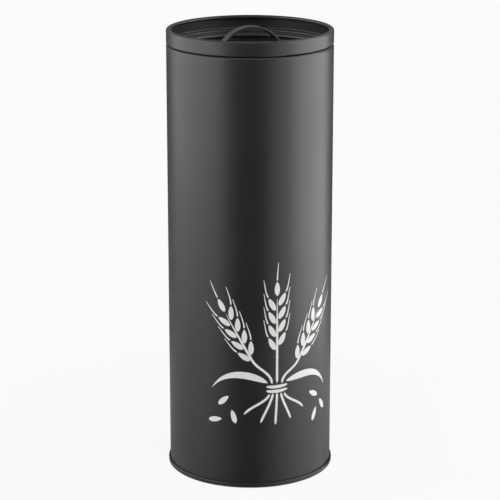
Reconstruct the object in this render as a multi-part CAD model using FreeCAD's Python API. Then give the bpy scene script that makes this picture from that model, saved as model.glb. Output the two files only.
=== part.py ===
"""Cylindrical tin canister for cereal with a press-in lid, built as sheet-metal work: millimetres, +Z up.

The origin is the middle of the ring that the canister stands on. The handle strap runs along X, and the
front of the canister faces -Y, so the lengthwise seam of the body is at the back, on +Y.

Every sheet piece is a bent-sheet section turned about Z. A section is a start point, a heading and a list
of straights and bends along the middle of the sheet, as a sheet-metal worker would read it off a drawing.
"""

import math
import os

import FreeCAD
import Part

# Overall sizes
HEIGHT = 300.0  # table to the top of the lid's rim
BODY_RADIUS = 55.0  # outside of the body and of the lid's band
SHEET = 0.3  # tinplate gauge of body, base and lid
LAYER_GAP = 0.05  # air between the folded layers of a seam

# Double seam that joins the base to the body, and the base panel
CHIME_HEIGHT = 3.2  # visible height of the seam round the foot
CHIME_FLAT = 0.3  # flat width of the standing ring
HOOK_RELIEF = 0.2  # how far each hook stops short of the fold it points at
COUNTERSINK = 4.0  # underside of the base panel above the table
PANEL_BEND = 1.0  # middle radius of the bend from panel to seam
PANEL_STEP = 0.8  # rise of each stiffening step in the panel
PANEL_STEP_RADII = (30.0, 43.0)  # where the steps start, from the middle outwards
STEP_BEND = 0.9  # middle radius of the bends of a step
STEP_SLOPE = 40.0  # degrees

# Lengthwise lock seam at the back of the body
LOCK_SEAM_WIDTH = 5.0
LOCK_SEAM_LAYERS = 3  # folded layers that lie inside the wall
LOCK_SEAM_MARGIN = 9.0  # plain lap left at each end, under the mouth and above the foot
SEAM_LINE_WIDTH = 0.6  # shallow line where the sheet's edge shows outside
SEAM_LINE_DEPTH = 0.12

# Mouth of the body
MOUTH_CURL_RADIUS = 1.6  # outside radius of the edge, curled inwards
MOUTH_CURL_TURN = 290.0  # degrees
LID_GAP = 0.3  # between the lid's ledge and the curl it comes down on

# Lid
BAND_HEIGHT = 9.6  # visible band, from the rim's top to its foot
BAND_CORNER = 0.95  # outside radius of the band's foot
RIM_CURL_RADIUS = 1.1  # outside radius of the rim's two round edges
RIM_FLAT = 1.3  # flat of the rim between them
RIM_CURL_TURN = 200.0  # degrees that the inner edge is rolled under
LEDGE_BEND = 0.75  # middle radius of the bend from ledge to plug
PLUG_CLEARANCE = 0.6  # radial room between plug and mouth
PLUG_NECK = 0.9  # straight of the plug above the seal's groove
PLUG_FOOT = 0.2  # straight of the plug below the seal's groove
GROOVE_FILLET = 0.6  # middle radius of the groove's two lips
PAN_CORNER = 0.9  # middle radius of the bend from plug to pan floor

# Seal in the rolled groove of the plug
SEAL_RADIUS = 1.3  # of its round section
SEAL_SEAT = 0.05  # room between the seal and its groove
SEAL_FIT = 0.2  # room between the seal and the mouth

# Handle strap, riveted to the floor of the pan
STRAP_WIDTH = 7.0
STRAP_THICKNESS = 1.4
STRAP_EDGE = 0.4  # rounding of the strap's long edges
ARCH_RADIUS = 24.0  # outside of the arch
HANDLE_ABOVE_RIM = 1.4
FOOT_BEND = 2.2  # middle radius of the bend from arch to foot
FOOT_LENGTH = 9.0
FOOT_CORNER = 3.0  # corner radius of the foot's end

# Rivets of the handle
RIVET_RADIUS = 1.3
RIVET_HEAD_RADIUS = 2.6
RIVET_HEAD_HEIGHT = 1.2
RIVET_TAIL_RADIUS = 2.2
RIVET_TAIL_HEIGHT = 0.7
RIVET_HOLE_ROOM = 0.05  # radial room in the holes
RIVET_SEAT = 0.02  # room under the head and above the tail

# Places worked out from the sizes above
PITCH = SHEET + LAYER_GAP  # from one layer of a seam to the next
WALL_MIDDLE = BODY_RADIUS - SHEET / 2
WALL_INSIDE = BODY_RADIUS - SHEET
MOUTH_RADIUS = BODY_RADIUS - 2 * MOUTH_CURL_RADIUS
LEDGE_MIDDLE = HEIGHT - BAND_HEIGHT + SHEET / 2
MOUTH_TOP = HEIGHT - BAND_HEIGHT - LID_GAP
PLUG_MIDDLE = MOUTH_RADIUS - PLUG_CLEARANCE - SHEET / 2
SEAL_MIDDLE = MOUTH_RADIUS - SEAL_FIT - SEAL_RADIUS
GROOVE_BEND = SEAL_RADIUS + SEAL_SEAT + SHEET / 2
GROOVE_ANGLE = math.acos((GROOVE_FILLET - (PLUG_MIDDLE - SEAL_MIDDLE)) / (GROOVE_FILLET + GROOVE_BEND))
GROOVE_HALF_HEIGHT = (GROOVE_FILLET + GROOVE_BEND) * math.sin(GROOVE_ANGLE)
SEAL_HEIGHT = LEDGE_MIDDLE - LEDGE_BEND - PLUG_NECK - GROOVE_HALF_HEIGHT
FLOOR_MIDDLE = SEAL_HEIGHT - GROOVE_HALF_HEIGHT - PLUG_FOOT - PAN_CORNER
FLOOR_TOP = FLOOR_MIDDLE + SHEET / 2
FLOOR_UNDER = FLOOR_MIDDLE - SHEET / 2
STRAP_MIDDLE = FLOOR_TOP + STRAP_THICKNESS / 2
ARCH_BEND = ARCH_RADIUS - STRAP_THICKNESS / 2
ARCH_RISE = HEIGHT + HANDLE_ABOVE_RIM - STRAP_THICKNESS / 2 - STRAP_MIDDLE
ARCH_ANGLE = math.acos(1 - ARCH_RISE / (FOOT_BEND + ARCH_BEND))
FOOT_START = (FOOT_BEND + ARCH_BEND) * math.sin(ARCH_ANGLE)
RIVET_X = FOOT_START + FOOT_LENGTH / 2

Z_AXIS = FreeCAD.Vector(0, 0, 1)
ORIGIN = FreeCAD.Vector(0, 0, 0)
UP, DOWN, OUTWARDS = 90.0, -90.0, 0.0  # headings in a section, in degrees


def straight(length):
    return ("straight", length, 0.0)


def bend(middle_radius, degrees):
    """A bend of the sheet's middle; positive degrees turn left, as seen with +X right and +Z up."""
    return ("bend", middle_radius, math.radians(degrees))


def sheet_section(start, heading, moves, thickness):
    """Face in the XZ plane: a strip of the given thickness along straights and bends from start."""
    place = FreeCAD.Vector(start[0], 0, start[1])
    angle = math.radians(heading)
    half = thickness / 2

    def left_of(direction):
        return FreeCAD.Vector(-math.sin(direction), 0, math.cos(direction))

    sides = {1: [], -1: []}
    first = {side: place + left_of(angle) * (side * half) for side in sides}
    for kind, size, turn in moves:
        begin, begin_angle = place, angle
        if kind == "straight":
            place = begin + FreeCAD.Vector(math.cos(angle), 0, math.sin(angle)) * size
            for side, edges in sides.items():
                offset = left_of(angle) * (side * half)
                edges.append(Part.LineSegment(begin + offset, place + offset).toShape())
            continue
        hand = math.copysign(1.0, turn)
        centre = begin + left_of(angle) * (hand * size)
        angle = begin_angle + turn
        place = centre - left_of(angle) * (hand * size)
        for side, edges in sides.items():
            reach = size - hand * side * half
            points = [centre - left_of(begin_angle + turn * share) * (hand * reach) for share in (0, 0.5, 1)]
            edges.append(Part.Arc(*points).toShape())
    last = {side: place + left_of(angle) * (side * half) for side in sides}
    end_cap = Part.LineSegment(last[1], last[-1]).toShape()
    start_cap = Part.LineSegment(first[-1], first[1]).toShape()
    outline = sides[1] + [end_cap] + sides[-1][::-1] + [start_cap]
    return Part.Face(Part.Wire(outline))


def turned(section):
    """Solid of a section turned once about Z."""
    return section.revolve(ORIGIN, Z_AXIS, 360)


def wall_sector(inner, outer, low, high, width):
    """Block of the round wall between two radii and two heights, of that width, at the back on +Y."""
    spread = math.degrees(width / outer)
    place = FreeCAD.Vector(0, 0, low)
    sector = Part.makeCylinder(outer, high - low, place, Z_AXIS, spread)
    sector = sector.cut(Part.makeCylinder(inner, high - low, place, Z_AXIS))
    sector.rotate(ORIGIN, Z_AXIS, 90 - spread / 2)
    return sector


# The foot's folds: the body and the base go round the same two quarter bends, one layer apart
FOLD_BEND = (2 * PITCH - CHIME_FLAT) / 2  # body's own fold
BASE_FOLD_BEND = FOLD_BEND + PITCH
FOLD_HEIGHT = BASE_FOLD_BEND + SHEET / 2  # where the folds end and the hooks go straight up
HOOK_TOP = CHIME_HEIGHT - PITCH - SHEET / 2  # where the base turns over the body's hook
HOOK_LENGTH = HOOK_TOP - FOLD_HEIGHT - HOOK_RELIEF


def make_body_shell():
    """Rolled cylinder: hook in the foot's seam, wall, curled mouth, and the lock seam at the back."""
    curl = MOUTH_CURL_RADIUS - SHEET / 2
    moves = [
        straight(HOOK_LENGTH),
        bend(FOLD_BEND, -90),
        straight(CHIME_FLAT),
        bend(FOLD_BEND, -90),
        straight(MOUTH_TOP - MOUTH_CURL_RADIUS - FOLD_HEIGHT),
        bend(curl, MOUTH_CURL_TURN),
    ]
    start = (WALL_MIDDLE + 2 * PITCH, FOLD_HEIGHT + HOOK_LENGTH)
    shell = turned(sheet_section(start, DOWN, moves, SHEET))
    low = CHIME_HEIGHT + LOCK_SEAM_MARGIN
    high = MOUTH_TOP - 2 * MOUTH_CURL_RADIUS - LOCK_SEAM_MARGIN
    folds_inside = WALL_INSIDE - LOCK_SEAM_LAYERS * SHEET
    folds = wall_sector(folds_inside, WALL_MIDDLE, low, high, LOCK_SEAM_WIDTH)
    line_bottom = BODY_RADIUS - SEAM_LINE_DEPTH
    line = wall_sector(line_bottom, BODY_RADIUS + SHEET, low, high, SEAM_LINE_WIDTH)
    return shell.fuse(folds).cut(line)


def make_base_end():
    """Stamped base: stepped panel, countersink wall, and the fold and hook that lock it to the body."""
    panel = COUNTERSINK + SHEET / 2
    slope_angle = math.radians(STEP_SLOPE)
    step_bends_rise = 2 * STEP_BEND * (1 - math.cos(slope_angle))
    step_ramp = (PANEL_STEP - step_bends_rise) / math.sin(slope_angle)
    step_run = 2 * STEP_BEND * math.sin(slope_angle) + step_ramp * math.cos(slope_angle)
    countersink_radius = WALL_MIDDLE - PITCH
    moves = []
    reached = 0.0
    for number, step_radius in enumerate(PANEL_STEP_RADII):
        slope = STEP_SLOPE if number % 2 == 0 else -STEP_SLOPE
        moves += [
            straight(step_radius - reached),
            bend(STEP_BEND, slope),
            straight(step_ramp),
            bend(STEP_BEND, -slope),
        ]
        reached = step_radius + step_run
    moves += [
        straight(countersink_radius - PANEL_BEND - reached),
        bend(PANEL_BEND, -90),
        straight(panel - PANEL_BEND - FOLD_HEIGHT),
        bend(BASE_FOLD_BEND, 90),
        straight(CHIME_FLAT),
        bend(BASE_FOLD_BEND, 90),
        straight(HOOK_TOP - FOLD_HEIGHT),
        bend(PITCH, 180),
        straight(HOOK_LENGTH),
    ]
    return turned(sheet_section((0, panel), OUTWARDS, moves, SHEET))


def make_lid_shell():
    """Drawn lid: pan floor, plug with the seal's rolled groove, ledge, band and curled rim."""
    curl = RIM_CURL_RADIUS - SHEET / 2
    corner = BAND_CORNER - SHEET / 2
    groove = math.degrees(GROOVE_ANGLE)
    moves = [
        straight(PLUG_MIDDLE - PAN_CORNER),
        bend(PAN_CORNER, 90),
        straight(PLUG_FOOT),
        bend(GROOVE_FILLET, groove),
        bend(GROOVE_BEND, -2 * groove),
        bend(GROOVE_FILLET, groove),
        straight(PLUG_NECK),
        bend(LEDGE_BEND, -90),
        straight(WALL_MIDDLE - corner - PLUG_MIDDLE - LEDGE_BEND),
        bend(corner, 90),
        straight(HEIGHT - RIM_CURL_RADIUS - LEDGE_MIDDLE - corner),
        bend(curl, 90),
        straight(RIM_FLAT),
        bend(curl, RIM_CURL_TURN),
    ]
    lid = turned(sheet_section((0, FLOOR_MIDDLE), OUTWARDS, moves, SHEET))
    return lid.cut(rivet_holes(FLOOR_UNDER, FLOOR_TOP))


def make_lid_seal():
    """Soft ring of round section in the groove of the plug."""
    return Part.makeTorus(SEAL_MIDDLE, SEAL_RADIUS, FreeCAD.Vector(0, 0, SEAL_HEIGHT), Z_AXIS)


def rivet_holes(low, high):
    """Cutters of the two rivet holes through a layer between those heights."""
    radius = RIVET_RADIUS + RIVET_HOLE_ROOM
    holes = []
    for side in (-1, 1):
        place = FreeCAD.Vector(side * RIVET_X, 0, low - SHEET)
        holes.append(Part.makeCylinder(radius, high - low + 2 * SHEET, place))
    return Part.makeCompound(holes)


def make_lid_handle():
    """Steel strap bent to an arch with two feet that lie on the pan floor."""
    arch = math.degrees(ARCH_ANGLE)
    moves = [
        straight(FOOT_LENGTH),
        bend(FOOT_BEND, arch),
        bend(ARCH_BEND, -2 * arch),
        bend(FOOT_BEND, arch),
        straight(FOOT_LENGTH),
    ]
    section = sheet_section((-FOOT_START - FOOT_LENGTH, STRAP_MIDDLE), OUTWARDS, moves, STRAP_THICKNESS)
    section.translate(FreeCAD.Vector(0, -STRAP_WIDTH / 2, 0))
    strap = section.extrude(FreeCAD.Vector(0, STRAP_WIDTH, 0))
    reach = FOOT_START + FOOT_LENGTH
    uprights = [edge for edge in strap.Edges if is_upright(edge)]
    ends = [edge for edge in uprights if abs(abs(edge.CenterOfMass.x) - reach) < STRAP_EDGE]
    strap = strap.makeFillet(min(FOOT_CORNER, 0.45 * STRAP_WIDTH), ends)
    rims = [edge for edge in strap.Edges if not is_upright(edge) and not crosses_strap(edge)]
    strap = strap.makeFillet(min(STRAP_EDGE, 0.3 * STRAP_THICKNESS), rims)
    return strap.cut(rivet_holes(FLOOR_TOP, FLOOR_TOP + STRAP_THICKNESS))


def is_upright(edge):
    box = edge.BoundBox
    return box.XLength < 1e-6 and box.YLength < 1e-6


def crosses_strap(edge):
    """True for an edge that runs straight across the strap, along Y."""
    box = edge.BoundBox
    return box.XLength < 1e-6 and box.ZLength < 1e-6


def make_handle_rivets():
    """Two rivets: domed head on the foot, shank, and a peened tail under the pan floor."""
    head_under = FLOOR_TOP + STRAP_THICKNESS + RIVET_SEAT
    tail_top = FLOOR_UNDER - RIVET_SEAT
    dome = (RIVET_HEAD_RADIUS**2 + RIVET_HEAD_HEIGHT**2) / (2 * RIVET_HEAD_HEIGHT)
    half_dome = math.asin(RIVET_HEAD_RADIUS / dome) / 2
    head_top = head_under + RIVET_HEAD_HEIGHT
    dome_middle = FreeCAD.Vector(dome * math.sin(half_dome), 0, head_top - dome * (1 - math.cos(half_dome)))
    corners = [
        (0, head_top),
        (0, tail_top - RIVET_TAIL_HEIGHT),
        (RIVET_TAIL_RADIUS, tail_top - RIVET_TAIL_HEIGHT),
        (RIVET_TAIL_RADIUS, tail_top),
        (RIVET_RADIUS, tail_top),
        (RIVET_RADIUS, head_under),
        (RIVET_HEAD_RADIUS, head_under),
    ]
    points = [FreeCAD.Vector(x, 0, z) for x, z in corners]
    edges = [Part.LineSegment(a, b).toShape() for a, b in zip(points, points[1:])]
    edges.append(Part.Arc(points[-1], dome_middle, points[0]).toShape())
    rivet = turned(Part.Face(Part.Wire(edges)))
    rivets = []
    for side in (-1, 1):
        one = rivet.copy()
        one.translate(FreeCAD.Vector(side * RIVET_X, 0, 0))
        rivets.append(one)
    return Part.makeCompound(rivets)


PIECES = {
    "body_shell": make_body_shell,
    "base_end": make_base_end,
    "lid_shell": make_lid_shell,
    "lid_seal": make_lid_seal,
    "lid_handle": make_lid_handle,
    "handle_rivets": make_handle_rivets,
}


def main():
    os.makedirs("parts", exist_ok=True)
    for node, make in PIECES.items():
        shape = make()
        box = shape.BoundBox
        print(
            f"{node}: {len(shape.Solids)} solid(s), valid {shape.isValid()}, volume {shape.Volume:.1f} mm3,"
            f" radius {box.XMax:.2f}, z {box.ZMin:.2f} to {box.ZMax:.2f}"
        )
        shape.exportStep(f"parts/{node}.step")


if __name__ == "__main__":
    main()
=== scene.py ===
"""Studio scene of a charcoal tin canister with a press-in lid: metres, in the frame of the CAD parts.

The CAD parts keep their own shapes and get their finishes here. The one new piece is the white print on the
front of the body: a sheaf of wheat in brush strokes, laid out flat and then wrapped round the wall.
"""

import math

import bmesh
import bpy
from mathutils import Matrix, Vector
from mathutils.geometry import interpolate_bezier


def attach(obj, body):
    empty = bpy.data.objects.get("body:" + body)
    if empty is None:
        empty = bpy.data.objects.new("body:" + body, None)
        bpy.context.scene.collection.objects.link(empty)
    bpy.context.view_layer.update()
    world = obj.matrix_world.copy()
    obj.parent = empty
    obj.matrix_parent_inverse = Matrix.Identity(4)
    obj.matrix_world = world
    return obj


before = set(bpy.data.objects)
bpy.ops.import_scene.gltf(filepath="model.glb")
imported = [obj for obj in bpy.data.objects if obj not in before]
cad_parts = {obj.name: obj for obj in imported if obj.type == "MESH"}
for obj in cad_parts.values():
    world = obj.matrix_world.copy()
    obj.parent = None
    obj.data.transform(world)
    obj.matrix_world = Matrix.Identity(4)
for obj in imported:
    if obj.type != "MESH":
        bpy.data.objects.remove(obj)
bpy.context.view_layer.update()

MM = 0.001

# Places on the CAD parts that the finishes and the print follow
BODY_RADIUS = 55.0 * MM
SHEET = 0.3 * MM
MOUTH_CURL_FOOT = 286.9 * MM  # under the curled edge of the body's mouth
PANEL_HEIGHT = 4.15 * MM  # middle of the base panel's sheet, above the table
PANEL_RISE = 0.8 * MM  # of the ring between the panel's two steps
PANEL_STEPS = ((30.0 * MM, 31.6 * MM), (43.0 * MM, 44.6 * MM))  # start and end, from the axis outwards
SEAM_FOOT = 12.2 * MM  # ends of the groove along the lock seam at the back
SEAM_TOP = 277.9 * MM
SEAM_SHOULDER = 0.9 * MM  # from the groove's middle to where its rounded side ends
SEAM_DEPTH = 0.12 * MM

# Sizes of the patterns in the finishes
PEEL_SIZE = 1.4 * MM  # the real enamel's peel is about 0.5 mm wide, too fine to show here
PEEL_DEPTH = 0.06 * MM
TONE_SIZE = 45 * MM  # clouds in the enamel's tone and gloss
STREAK_SPACING = 6 * MM  # of the tin's rolling streaks
STREAK_SQUASH = 0.06  # of the pattern's height, which draws it out into upright streaks
TIN_SHINE = 0.45  # metal's share of the tin's look: its lacquer scatters the rest
SILICONE_GRAIN = 0.6 * MM  # the real grain is about 0.1 mm, too fine to show here
SILICONE_GRAIN_DEPTH = 0.05 * MM
SILICONE_CLOUD = 9 * MM
LIGHT_DEPTH = 1.5 * MM  # how far light goes into the silicone
INK_CLOUD = 3 * MM
INK_CLOUD_DEPTH = 0.02 * MM


def linear(hex_colour):
    """sRGB hex to the linear RGBA that Blender's sockets take."""
    channels = [int(hex_colour[i : i + 2], 16) / 255 for i in (1, 3, 5)]
    return (*[c / 12.92 if c <= 0.04045 else ((c + 0.055) / 1.055) ** 2.4 for c in channels], 1.0)


def add(tree, kind, inputs=None, **settings):
    """A new node with its settings; an input is a value, or another node's output to link."""
    made = tree.nodes.new(kind)
    for name, value in settings.items():
        setattr(made, name, value)
    for socket, value in (inputs or {}).items():
        if isinstance(value, bpy.types.NodeSocket):
            tree.links.new(value, made.inputs[socket])
        else:
            made.inputs[socket].default_value = value
    return made


def new_material(name):
    """An empty node material and its tree."""
    material = bpy.data.materials.new(name)
    material.use_nodes = True
    material.node_tree.nodes.clear()
    return material, material.node_tree


def make_object(name, bm, material):
    """Object in the scene made of a finished bmesh and its material."""
    mesh = bpy.data.meshes.new(name)
    bm.to_mesh(mesh)
    bm.free()
    mesh.materials.append(material)
    made = bpy.data.objects.new(name, mesh)
    bpy.context.scene.collection.objects.link(made)
    return made


# Satin stove enamel: nearly black, with a soft wide sheen on the round sides and a very fine peel
def charcoal_enamel(name, inside=None, groove=None):
    """The enamel; where inside gives 1 the sheet is lacquered tinplate instead, and groove sinks it."""
    material, tree = new_material(name)
    place = add(tree, "ShaderNodeTexCoord").outputs["Object"]
    peel = add(tree, "ShaderNodeTexNoise", {"Vector": place, "Scale": 1 / PEEL_SIZE, "Detail": 2.0})
    cloud = add(tree, "ShaderNodeTexNoise", {"Vector": place, "Scale": 1 / TONE_SIZE, "Detail": 3.0})
    tone = cloud.outputs["Fac"]
    colour = add(
        tree,
        "ShaderNodeMix",
        {"Factor": tone, "A": linear("#1d1d1e"), "B": linear("#212122")},
        data_type="RGBA",
    ).outputs[2]
    roughness = add(
        tree,
        "ShaderNodeMapRange",
        {"Value": tone, "From Min": 0.3, "From Max": 0.7, "To Min": 0.36, "To Max": 0.42},
    ).outputs["Result"]
    metallic = 0.0
    height = peel.outputs["Fac"]
    if inside:
        metallic, colour, roughness = lacquered_tin(tree, place, inside(tree, place), colour, roughness)
    if groove:
        sunk = groove(tree, place)
        height = add(tree, "ShaderNodeMath", {0: height, 1: sunk}, operation="SUBTRACT").outputs[0]
    bump = add(tree, "ShaderNodeBump", {"Height": height, "Strength": 0.8, "Distance": PEEL_DEPTH})
    shader = add(
        tree,
        "ShaderNodeBsdfPrincipled",
        {
            "Base Color": colour,
            "Roughness": roughness,
            "Metallic": metallic,
            "Normal": bump.outputs["Normal"],
            "IOR": 1.6,
        },
    )
    add(tree, "ShaderNodeOutputMaterial", {"Surface": shader.outputs["BSDF"]})
    return material


# Lock seam at the back: the enamel rounds the shoulders of the fine groove where the sheet's edge shows
def seam_groove(tree, place):
    """Groove's depth in units of the peel's: full on the seam's line, none beside it or past its ends."""
    axes = add(tree, "ShaderNodeSeparateXYZ", {0: place}).outputs
    beside = add(tree, "ShaderNodeMath", {0: axes[0]}, operation="ABSOLUTE").outputs[0]
    groove = add(
        tree,
        "ShaderNodeMapRange",
        {"Value": beside, "From Max": SEAM_SHOULDER, "To Min": SEAM_DEPTH / PEEL_DEPTH, "To Max": 0.0},
        interpolation_type="SMOOTHSTEP",
    ).outputs["Result"]
    behind = add(tree, "ShaderNodeMath", {0: axes[1], 1: 0.0}, operation="GREATER_THAN").outputs[0]
    along = add(
        tree,
        "ShaderNodeMath",
        {0: axes[2], 1: (SEAM_FOOT + SEAM_TOP) / 2, 2: (SEAM_TOP - SEAM_FOOT) / 2},
        operation="COMPARE",
    ).outputs[0]
    seen = add(tree, "ShaderNodeMath", {0: behind, 1: along}, operation="MULTIPLY").outputs[0]
    return add(tree, "ShaderNodeMath", {0: groove, 1: seen}, operation="MULTIPLY").outputs[0]


def reach_and_height(tree, place):
    """Distance from the canister's axis, and height above the table."""
    axes = add(tree, "ShaderNodeSeparateXYZ", {0: place}).outputs
    flat = add(tree, "ShaderNodeCombineXYZ", {0: axes[0], 1: axes[1]}).outputs[0]
    reach = add(tree, "ShaderNodeVectorMath", {0: flat}, operation="LENGTH").outputs["Value"]
    return reach, axes[2]


def wall_inside(tree, place):
    """1 on the inside of the body's wall up to its curled mouth, and 0 elsewhere."""
    reach, height = reach_and_height(tree, place)
    wall = BODY_RADIUS - SHEET / 2
    inside = add(tree, "ShaderNodeMath", {0: reach, 1: wall}, operation="LESS_THAN").outputs[0]
    below = add(tree, "ShaderNodeMath", {0: height, 1: MOUTH_CURL_FOOT}, operation="LESS_THAN").outputs[0]
    return add(tree, "ShaderNodeMath", {0: inside, 1: below}, operation="MULTIPLY").outputs[0]


def panel_top(tree, place):
    """1 on the upper face of the base panel, and 0 on its underside and on the foot's seam."""
    reach, height = reach_and_height(tree, place)
    up, down = [
        add(
            tree,
            "ShaderNodeMapRange",
            {"Value": reach, "From Min": start, "From Max": end, "To Max": PANEL_RISE},
            interpolation_type="SMOOTHSTEP",
        ).outputs["Result"]
        for start, end in PANEL_STEPS
    ]
    raised = add(tree, "ShaderNodeMath", {0: up, 1: down}, operation="SUBTRACT").outputs[0]
    above = add(tree, "ShaderNodeMath", {0: height, 1: raised}, operation="SUBTRACT").outputs[0]
    return add(tree, "ShaderNodeMath", {0: above, 1: PANEL_HEIGHT}, operation="GREATER_THAN").outputs[0]


# Tinplate under a clear gold-tinted food lacquer: pale, half dulled metal with faint upright streaks
def lacquered_tin(tree, place, mask, colour, roughness):
    """Metal, and the enamel's colour and roughness changed to the tin's, where the mask is 1."""
    metallic = add(tree, "ShaderNodeMath", {0: mask, 1: TIN_SHINE}, operation="MULTIPLY").outputs[0]
    drawn_out = add(tree, "ShaderNodeMapping", {"Vector": place, "Scale": (1, 1, STREAK_SQUASH)}).outputs[0]
    streaks = add(
        tree,
        "ShaderNodeTexNoise",
        {"Vector": drawn_out, "Scale": 1 / STREAK_SPACING, "Detail": 3.0},
    ).outputs["Fac"]
    tin = add(
        tree,
        "ShaderNodeMix",
        {"Factor": streaks, "A": linear("#b3aa94"), "B": linear("#c8c0ac")},
        data_type="RGBA",
    ).outputs[2]
    colour = add(
        tree,
        "ShaderNodeMix",
        {"Factor": mask, "A": colour, "B": tin},
        data_type="RGBA",
    ).outputs[2]
    rolled = add(
        tree,
        "ShaderNodeMapRange",
        {"Value": streaks, "To Min": 0.28, "To Max": 0.4},
    ).outputs["Result"]
    roughness = add(tree, "ShaderNodeMix", {"Factor": mask, "A": roughness, "B": rolled}).outputs[0]
    return metallic, colour, roughness


# Frosted silicone: milky and soft, with light going a little way into it and a fine matt grain
def frosted_silicone(name):
    """The seal's rubber."""
    material, tree = new_material(name)
    place = add(tree, "ShaderNodeTexCoord").outputs["Object"]
    grain = add(
        tree,
        "ShaderNodeTexNoise",
        {"Vector": place, "Scale": 1 / SILICONE_GRAIN, "Detail": 2.0},
    ).outputs["Fac"]
    milk = add(
        tree,
        "ShaderNodeTexNoise",
        {"Vector": place, "Scale": 1 / SILICONE_CLOUD, "Detail": 2.0},
    ).outputs["Fac"]
    colour = add(
        tree,
        "ShaderNodeMix",
        {"Factor": milk, "A": linear("#c2c1bb"), "B": linear("#d2d1cc")},
        data_type="RGBA",
    ).outputs[2]
    roughness = add(
        tree,
        "ShaderNodeMapRange",
        {"Value": grain, "To Min": 0.42, "To Max": 0.58},
    ).outputs["Result"]
    bump = add(
        tree,
        "ShaderNodeBump",
        {"Height": grain, "Strength": 0.15, "Distance": SILICONE_GRAIN_DEPTH},
    ).outputs["Normal"]
    shader = add(
        tree,
        "ShaderNodeBsdfPrincipled",
        {
            "Base Color": colour,
            "Roughness": roughness,
            "Normal": bump,
            "IOR": 1.41,
            "Subsurface Weight": 0.3,
            "Subsurface Radius": (1.0, 0.9, 0.8),
            "Subsurface Scale": LIGHT_DEPTH,
        },
    )
    add(tree, "ShaderNodeOutputMaterial", {"Surface": shader.outputs["BSDF"]})
    return material


# Screen-printing ink: opaque warm white with a dry, slightly cloudy cover and a satin surface
def white_ink(name):
    """The print's ink."""
    material, tree = new_material(name)
    place = add(tree, "ShaderNodeTexCoord").outputs["Object"]
    cover = add(
        tree,
        "ShaderNodeTexNoise",
        {"Vector": place, "Scale": 1 / INK_CLOUD, "Detail": 4.0},
    ).outputs["Fac"]
    colour = add(
        tree,
        "ShaderNodeMix",
        {"Factor": cover, "A": linear("#e8e7e3"), "B": linear("#f7f6f3")},
        data_type="RGBA",
    ).outputs[2]
    roughness = add(
        tree,
        "ShaderNodeMapRange",
        {"Value": cover, "To Min": 0.5, "To Max": 0.62},
    ).outputs["Result"]
    bump = add(
        tree,
        "ShaderNodeBump",
        {"Height": cover, "Strength": 0.1, "Distance": INK_CLOUD_DEPTH},
    ).outputs["Normal"]
    shader = add(
        tree,
        "ShaderNodeBsdfPrincipled",
        {"Base Color": colour, "Roughness": roughness, "Normal": bump, "IOR": 1.5},
    )
    add(tree, "ShaderNodeOutputMaterial", {"Surface": shader.outputs["BSDF"]})
    return material


enamel = charcoal_enamel("charcoal_stove_enamel")
finishes = {
    "body_shell": charcoal_enamel("charcoal_stove_enamel_tin_inside", wall_inside, seam_groove),
    "base_end": charcoal_enamel("charcoal_stove_enamel_tin_above", panel_top),
    "lid_shell": enamel,
    "lid_handle": enamel,
    "handle_rivets": enamel,
    "lid_seal": frosted_silicone("frosted_silicone"),
}
for node, finish in finishes.items():
    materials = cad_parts[node].data.materials
    materials.clear()
    materials.append(finish)


# Print, drawn flat as on a sheet of paper: millimetres across to the right, and up from the table
PRINT_SHIFT = -3.0  # from the middle of the front
INK_FILM = 0.06  # thicker than real ink, so that it stays clear of the wall's facets
INK_LIFT = 0.01  # air between the film and the wall
STROKE_SIDES = (-1, 0, 1)  # left edge, middle and right edge of a stroke
GRAIN_LENGTH = 9.5
GRAIN_LEAN = 28.0  # degrees from the ear's axis
GRAIN_PITCH = 9.0  # along the ear, from one pair to the next
GRAIN_PAIRS = 4
GRAIN_STAGGER = 0.35  # of the pitch, by which the right-hand grain of a pair sits higher
GRAIN_ASIDE = 1.3  # from the ear's axis to a grain's foot
TOP_GRAIN_GAP = 0.1  # of the pitch
AWN_LENGTH = 12.0
AWN_PULL = 4.0
AWN_GAP = 1.0  # from a grain's tip
AWN_BOW = 14.0  # degrees, back towards the ear's axis
TOP_AWN_BOW = 4.0
AWN_HALF = 0.5  # half width at the grain
AWN_TAPER = 0.32  # by which it is less at the tip
STEM_HALF = 0.8  # half a stalk's width
STEM_PULL = 0.4  # of the way from the tie to the ear
STEM_TURN = 0.2  # of the ear's lean, already taken at the tie
STEM_SHORT = 1.0  # by which a stalk stops below the ear's top
STALK_SPREAD = 1.3  # how quickly the cut stalks part below the tie
STALK_PULL_HEIGHT = 60.0
STALK_END_PULL = (0.8, 6.0)  # share of the cut's way across, and height above it
TIE_REACH = 7.4  # half the length of a turn of the tie
TIE_PULL = 3.0
TIE_LIFT = 0.5  # of a turn's right-hand end
EARS = (  # where a stalk leaves the tie, where its ear starts, and the ear's lean in degrees
    ((0, 73), (0, 96), 0),
    ((-3.4, 72.6), (-17, 90), -29),
    ((3.4, 72.6), (16, 87), 31),
)
CUT_STALKS = (  # where a stalk comes out below the tie, and where it is cut
    ((-5.2, 65.6), (-22, 52)),
    ((-2.8, 65.8), (-11, 46)),
    ((0, 66), (-1, 44)),
    ((2.8, 65.8), (10, 47)),
    ((5.2, 65.6), (20, 53)),
)
TIE_TURNS = ((70.9, -0.8), (67.9, -1.0))  # height and sag
LEAVES = (  # start at the tie, two pulls and tip
    ((-6.5, 73.5), (-17, 80), (-34, 84), (-44, 69)),
    ((6.5, 73.5), (18, 77), (34, 80), (43, 63)),
)
LOOSE_GRAINS = (  # middle, and degrees that the grain is turned
    ((-36, 61), 48),
    ((-29, 50), -15),
    ((-42, 47), 80),
    ((30, 60), -62),
    ((31, 45), 25),
    ((40, 50), -35),
)


def on_sheet(place):
    """Point of the sheet, from its way across and up."""
    return Vector((place[0], place[1], 0))


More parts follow.
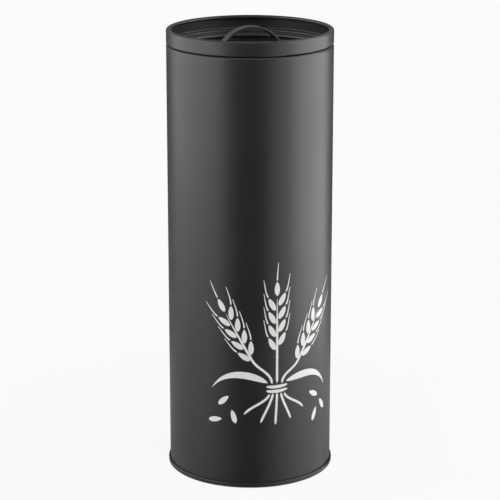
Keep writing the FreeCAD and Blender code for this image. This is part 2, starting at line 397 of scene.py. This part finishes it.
def heading(degrees):
    """Unit direction on the sheet, so many degrees to the right of straight up."""
    return Vector((math.sin(math.radians(degrees)), math.cos(math.radians(degrees)), 0))


def curve(start, pull_out, pull_in, end, steps):
    """Points of a smooth curve on the sheet from start to end, drawn out by its two pulls."""
    return interpolate_bezier(*[on_sheet(place) for place in (start, pull_out, pull_in, end)], steps)


def swelling(ends, half, skew, fullness):
    """Half width by share of the way: small at the ends, and wider by half between them.

    A skew under 1 puts the widest place nearer to the start, and a fullness under 1 blunts the ends.
    """
    return lambda share: ends + half * math.sin(math.pi * share**skew) ** fullness


def even(half, start, start_rise, end, end_rise):
    """Half width by share of the way: even, but for a narrower start and end that widen at their rise."""
    return lambda share: half * min(1.0, start + start_rise * share, end + end_rise * (1 - share))


grain_width = swelling(ends=0.06, half=1.75, skew=0.85, fullness=0.8)
leaf_width = swelling(ends=0.1, half=2.3, skew=0.7, fullness=1.0)
tie_width = swelling(ends=0.15, half=0.95, skew=1.0, fullness=0.35)
stem_width = even(STEM_HALF, start=0.3, start_rise=20, end=0.15, end_rise=3)
cut_stalk_width = even(STEM_HALF, start=0.3, start_rise=20, end=0.4, end_rise=6)


def brush_stroke(bm, path, half_width):
    """Stroke of ink: a line of three points across the path's start, extruded from point to point."""
    line = []
    for number, point in enumerate(path):
        ahead = path[min(number + 1, len(path) - 1)] - path[max(number - 1, 0)]
        across = Vector((ahead.y, -ahead.x, 0)).normalized() * half_width(number / (len(path) - 1))
        if line:
            edges = [bm.edges.get(pair) for pair in zip(line, line[1:])]
            made = bmesh.ops.extrude_edge_only(bm, edges=edges)["geom"]
            fresh = [item for item in made if isinstance(item, bmesh.types.BMVert)]
            line = sorted(fresh, key=lambda vert: (vert.co - last).dot(last_across))
        else:
            line = [bm.verts.new(point + across * side) for side in STROKE_SIDES]
            for pair in zip(line, line[1:]):
                bm.edges.new(pair)
        for vert, side in zip(line, STROKE_SIDES):
            vert.co = point + across * side
        last, last_across = point, across


def grain(bm, foot, degrees):
    """Grain of wheat: a drop that swells above its foot and comes to a point."""
    tip = foot + heading(degrees) * GRAIN_LENGTH
    middle = foot + heading(degrees) * GRAIN_LENGTH / 2
    path = curve(foot, (foot + middle) / 2, (middle + tip) / 2, tip, steps=15)
    brush_stroke(bm, path, grain_width)
    return tip


def awn(bm, tip, degrees, bow):
    """Bristle that goes on from a grain's tip and bows a little."""
    start = tip + heading(degrees) * AWN_GAP
    end = start + heading(degrees + bow) * AWN_LENGTH
    pull_out = start + heading(degrees) * AWN_PULL
    pull_in = end - heading(degrees + bow) * AWN_PULL
    path = curve(start, pull_out, pull_in, end, steps=9)
    brush_stroke(bm, path, lambda share: AWN_HALF - AWN_TAPER * share)


def stem(bm, foot, root, degrees):
    """Stalk from the tie to an ear, and on along the ear's axis."""
    rise = (root - foot).length
    pull_out = foot + heading(degrees * STEM_TURN) * rise * STEM_PULL
    pull_in = root - heading(degrees) * rise * STEM_PULL
    bent = curve(foot, pull_out, pull_in, root, steps=14)
    top = root + heading(degrees) * (GRAIN_PITCH * GRAIN_PAIRS - STEM_SHORT)
    axis = curve(root, root.lerp(top, 0.3), root.lerp(top, 0.7), top, steps=12)
    brush_stroke(bm, bent[:-1] + axis, stem_width)


def wheat_ear(bm, root, degrees):
    """Pairs of grains up both sides of an axis, each with its bristle, and one grain on top."""
    for pair in range(GRAIN_PAIRS):
        for side, stagger in ((-1, 0.0), (1, GRAIN_STAGGER)):
            along = GRAIN_PITCH * (pair + stagger)
            lean = degrees + side * GRAIN_LEAN
            foot = root + heading(degrees) * along + heading(degrees + 90) * side * GRAIN_ASIDE
            tip = grain(bm, foot, lean)
            awn(bm, tip, lean, -side * AWN_BOW)
    top = root + heading(degrees) * GRAIN_PITCH * (GRAIN_PAIRS + TOP_GRAIN_GAP)
    tip = grain(bm, top, degrees)
    awn(bm, tip, degrees, TOP_AWN_BOW)


def cut_stalk(bm, high, low):
    """End of a stalk below the tie, down to where it is cut."""
    share, above = STALK_END_PULL
    pull_out = (high[0] * STALK_SPREAD, STALK_PULL_HEIGHT)
    pull_in = (low[0] * share, low[1] + above)
    brush_stroke(bm, curve(high, pull_out, pull_in, low, steps=14), cut_stalk_width)


def tie_turn(bm, height, sag):
    """One turn of the tie round the stalks."""
    start = (-TIE_REACH, height)
    end = (TIE_REACH, height + TIE_LIFT)
    path = curve(start, (-TIE_PULL, height + sag), (TIE_PULL, height + sag), end, steps=14)
    brush_stroke(bm, path, tie_width)


def draw_sheaf(bm):
    """The whole drawing: three ears on curved stalks, tied, with two leaves and loose grains."""
    for foot, root, degrees in EARS:
        stem(bm, on_sheet(foot), on_sheet(root), degrees)
        wheat_ear(bm, on_sheet(root), degrees)
    for high, low in CUT_STALKS:
        cut_stalk(bm, high, low)
    for height, sag in TIE_TURNS:
        tie_turn(bm, height, sag)
    for start, pull_out, pull_in, tip in LEAVES:
        brush_stroke(bm, curve(start, pull_out, pull_in, tip, steps=26), leaf_width)
    for middle, degrees in LOOSE_GRAINS:
        grain(bm, on_sheet(middle) - heading(degrees) * GRAIN_LENGTH / 2, degrees)


def wrap_round_body(bm):
    """The flat film bent round the wall, with its upper face outwards."""
    lowest = min(vert.co.z for vert in bm.verts)
    for vert in bm.verts:
        turn = (vert.co.x + PRINT_SHIFT) * MM / BODY_RADIUS
        reach = BODY_RADIUS + (vert.co.z - lowest + INK_LIFT) * MM
        vert.co = (reach * math.sin(turn), -reach * math.cos(turn), vert.co.y * MM)


def make_wheat_print():
    """White print on the front of the body: a thin film of ink in the shape of the drawing."""
    bm = bmesh.new()
    draw_sheaf(bm)
    bm.normal_update()
    for face in bm.faces:
        if face.normal.z < 0:
            face.normal_flip()
    bmesh.ops.solidify(bm, geom=bm.faces[:] + bm.edges[:] + bm.verts[:], thickness=INK_FILM)
    wrap_round_body(bm)
    wheat_print = make_object("wheat_print", bm, white_ink("white_screen_ink"))
    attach(wheat_print, "can")


make_wheat_print()


# Camera: to the left of the canister's front, so that the front is turned to the right in the picture
CAMERA_AZIMUTH = -22.0  # degrees round Z from the front, which faces -Y
CAMERA_DISTANCE = 1.300  # from the canister's axis
CAMERA_HEIGHT = 0.51605
CAMERA_PITCH = 15.756  # degrees below the horizon
FOCAL_PIXELS = 2005.0
IMAGE_PIXELS = 500.0

# Studio: white paper floor and backdrop, three softboxes, and paper cards that only the sheen shows
BACKDROP = "#fbfbfb"
SHADOW_NEAR = 0.1  # metres from the canister's axis: up to here the floor shows the object's shadow
SHADOW_FAR = 0.32  # and from here on it is as plain as the backdrop
SHADOW_GLOW = 0.95  # the backdrop's share of the floor's look where it shows the shadow
FRONT_GREY = "#585858"
CARD_LIFT = 0.001  # of the cards that lie on the floor
LEFT_CARD_LIFT = 0.0005  # of the left one, which passes under the others
FAN_LENGTH = 0.32  # of the card in front of the foot
FAN_CORE_NEAR = 0.08  # full cover up to here at the wall, as a share of the wall's radius to each side
FAN_CORE_FAR = 0.26  # and at the card's far end
FAN_EDGE_NEAR = 0.66  # no cover from here on at the wall
FAN_EDGE_FAR = 0.34  # and at the card's far end
BACK_CARD_FOOT = (0.555, CARD_LIFT, 0.739)  # way out from the axis, height and half width of a card there
FOOT_CARD_JOIN = (0.2, CARD_LIFT, 0.316)


def white_to_the_eye(tree):
    """1 for a ray that shows the background, straight or in gloss or glass, and 0 for a ray that lights."""
    rays = add(tree, "ShaderNodeLightPath").outputs
    straight, gloss, glass = rays["Is Camera Ray"], rays["Is Glossy Ray"], rays["Is Transmission Ray"]
    seen = add(tree, "ShaderNodeMath", {0: straight, 1: gloss}, operation="MAXIMUM").outputs[0]
    return add(tree, "ShaderNodeMath", {0: seen, 1: glass}, operation="MAXIMUM").outputs[0]


# White background paper: as plain as the backdrop, with a little shade of its own round the canister
def white_paper():
    """The floor's paper."""
    material, tree = new_material("white_paper_floor")
    place = add(tree, "ShaderNodeTexCoord").outputs["Object"]
    away = add(tree, "ShaderNodeVectorMath", {0: place}, operation="LENGTH").outputs["Value"]
    plain = add(
        tree,
        "ShaderNodeMapRange",
        {
            "Value": away,
            "From Min": SHADOW_NEAR,
            "From Max": SHADOW_FAR,
            "To Min": SHADOW_GLOW,
            "To Max": 1.0,
        },
    ).outputs["Result"]
    seen = white_to_the_eye(tree)
    share = add(tree, "ShaderNodeMath", {0: seen, 1: plain}, operation="MULTIPLY").outputs[0]
    paper = add(tree, "ShaderNodeBsdfDiffuse", {"Color": linear("#f2f2f2")}).outputs[0]
    glow = add(tree, "ShaderNodeEmission", {"Color": linear(BACKDROP), "Strength": 1.0}).outputs[0]
    both = add(tree, "ShaderNodeMixShader", {0: share, 1: paper, 2: glow}).outputs[0]
    add(tree, "ShaderNodeOutputMaterial", {"Surface": both})
    return material


def make_floor():
    """Wide floor that the canister stands on."""
    bm = bmesh.new()
    bmesh.ops.create_grid(bm, x_segments=1, y_segments=1, size=40.0)
    floor = make_object("studio_floor", bm, white_paper())


def make_world():
    """Dim white room that lights from all round, with the backdrop's white to the eye."""
    world = bpy.data.worlds.new("studio_room")
    bpy.context.scene.world = world
    world.use_nodes = True
    tree = world.node_tree
    tree.nodes.clear()
    room = add(tree, "ShaderNodeBackground", {"Color": linear("#ffffff"), "Strength": 0.1}).outputs[0]
    backdrop = add(tree, "ShaderNodeBackground", {"Color": linear(BACKDROP), "Strength": 1.0}).outputs[0]
    both = add(tree, "ShaderNodeMixShader", {0: white_to_the_eye(tree), 1: room, 2: backdrop}).outputs[0]
    add(tree, "ShaderNodeOutputWorld", {"Surface": both})


def round_the_axis(azimuth, distance, height):
    """Place at an azimuth from the camera's own, in degrees, and a distance from the canister's axis."""
    turn = math.radians(CAMERA_AZIMUTH + azimuth)
    return Vector((distance * math.sin(turn), -distance * math.cos(turn), height))


def make_softbox(name, azimuth, distance, height, aim_height, width, length, watts):
    """Area lamp beside or above the canister, aimed at a height on its axis."""
    lamp = bpy.data.lights.new(name, "AREA")
    lamp.shape = "RECTANGLE"
    lamp.size = width
    lamp.size_y = length
    lamp.energy = watts
    softbox = bpy.data.objects.new(name, lamp)
    bpy.context.scene.collection.objects.link(softbox)
    softbox.location = round_the_axis(azimuth, distance, height)
    aim = Vector((0, 0, aim_height)) - softbox.location
    softbox.rotation_euler = aim.to_track_quat("-Z", "Y").to_euler()


def stage_card(name, azimuth, bm, colour):
    """Paper card which only the canister's sheen shows; it fades out where its cover does."""
    material, tree = new_material(name)
    cover = add(tree, "ShaderNodeAttribute", attribute_name="cover").outputs["Fac"]
    clear = add(tree, "ShaderNodeBsdfTransparent").outputs[0]
    paper = add(tree, "ShaderNodeBsdfDiffuse", {"Color": linear(colour)}).outputs[0]
    both = add(tree, "ShaderNodeMixShader", {0: cover, 1: clear, 2: paper}).outputs[0]
    add(tree, "ShaderNodeOutputMaterial", {"Surface": both})
    card = make_object(name, bm, material)
    card.rotation_euler = (0, 0, math.radians(CAMERA_AZIMUTH + azimuth))
    card.visible_camera = False
    card.visible_diffuse = False
    card.visible_shadow = False


def make_card(name, azimuth, corners, colour):
    """Card folded along corners: each gives the way out from the canister's axis, height and half width."""
    bm = bmesh.new()
    cover = bm.verts.layers.float.new("cover")
    bmesh.ops.create_grid(bm, x_segments=1, y_segments=len(corners) - 1, size=1.0)
    for vert in bm.verts:
        out, up, half = corners[round((vert.co.y + 1) / 2 * (len(corners) - 1))]
        vert.co = (vert.co.x * half, -out, up)
        vert[cover] = 1.0
    stage_card(name, azimuth, bm, colour)


def make_fan_card(name, azimuth, colour):
    """Card on the floor in front of the foot, along the lines in which the wall mirrors the floor."""
    bm = bmesh.new()
    cover = bm.verts.layers.float.new("cover")
    bmesh.ops.create_grid(bm, x_segments=40, y_segments=24, size=1.0)
    for vert in bm.verts:
        share = vert.co.x * FAN_EDGE_NEAR
        way = (vert.co.y + 1) / 2
        core = FAN_CORE_NEAR + (FAN_CORE_FAR - FAN_CORE_NEAR) * way
        edge = FAN_EDGE_NEAR + (FAN_EDGE_FAR - FAN_EDGE_NEAR) * way
        vert[cover] = min(max((edge - abs(share)) / (edge - core), 0.0), 1.0)
        turn = math.asin(share)
        reach = way * FAN_LENGTH
        vert.co = (
            BODY_RADIUS * math.sin(turn) + reach * math.sin(2 * turn),
            -BODY_RADIUS * math.cos(turn) - reach * math.cos(2 * turn),
            CARD_LIFT,
        )
    stage_card(name, azimuth, bm, colour)


def make_camera():
    """Camera at the photograph's place, level from side to side."""
    data = bpy.data.cameras.new("studio_camera")
    data.sensor_width = 36.0
    data.lens = FOCAL_PIXELS / IMAGE_PIXELS * data.sensor_width
    camera = bpy.data.objects.new("studio_camera", data)
    bpy.context.scene.collection.objects.link(camera)
    camera.location = round_the_axis(0, CAMERA_DISTANCE, CAMERA_HEIGHT)
    camera.rotation_euler = (math.radians(90 - CAMERA_PITCH), 0, math.radians(CAMERA_AZIMUTH))
    bpy.context.scene.camera = camera


make_floor()
make_world()
make_softbox(
    "softbox_left",
    azimuth=-82,
    distance=0.8,
    height=0.75,
    aim_height=0.75,
    width=1.6,
    length=1.5,
    watts=9.3,
)
make_softbox(
    "softbox_right",
    azimuth=90.5,
    distance=0.32,
    height=0.385,
    aim_height=0.385,
    width=0.405,
    length=0.77,
    watts=1.89,
)
make_softbox(
    "softbox_above",
    azimuth=0,
    distance=0.8,
    height=1.15,
    aim_height=0.15,
    width=1.0,
    length=0.8,
    watts=6,
)
make_fan_card("card_front_foot", azimuth=-2, colour=FRONT_GREY)
make_card(
    "card_front",
    azimuth=-1.5,
    corners=((0.35, CARD_LIFT, 0.188), (0.7, CARD_LIFT, 0.39), (0.7, 1.6, 0.39)),
    colour=FRONT_GREY,
)
make_card("card_back", azimuth=180, corners=(BACK_CARD_FOOT, (0.555, 0.5, 0.739)), colour="#6c6c6c")
make_card("card_foot", azimuth=180, corners=((-0.023, CARD_LIFT, 0.05), FOOT_CARD_JOIN), colour="#dcdcdc")
make_card("card_foot_far", azimuth=180, corners=(FOOT_CARD_JOIN, BACK_CARD_FOOT), colour="#b0b0b0")
make_card(
    "card_left",
    azimuth=-80,
    corners=((0.03, LEFT_CARD_LIFT, 0.06), (0.8, LEFT_CARD_LIFT, 0.8)),
    colour="#f0f0f0",
)
make_card("card_ceiling", azimuth=180, corners=((-1.5, 1.9, 2.0), (2.5, 1.9, 2.0)), colour="#202020")
make_camera()
bpy.context.scene.view_settings.view_transform = "Standard"
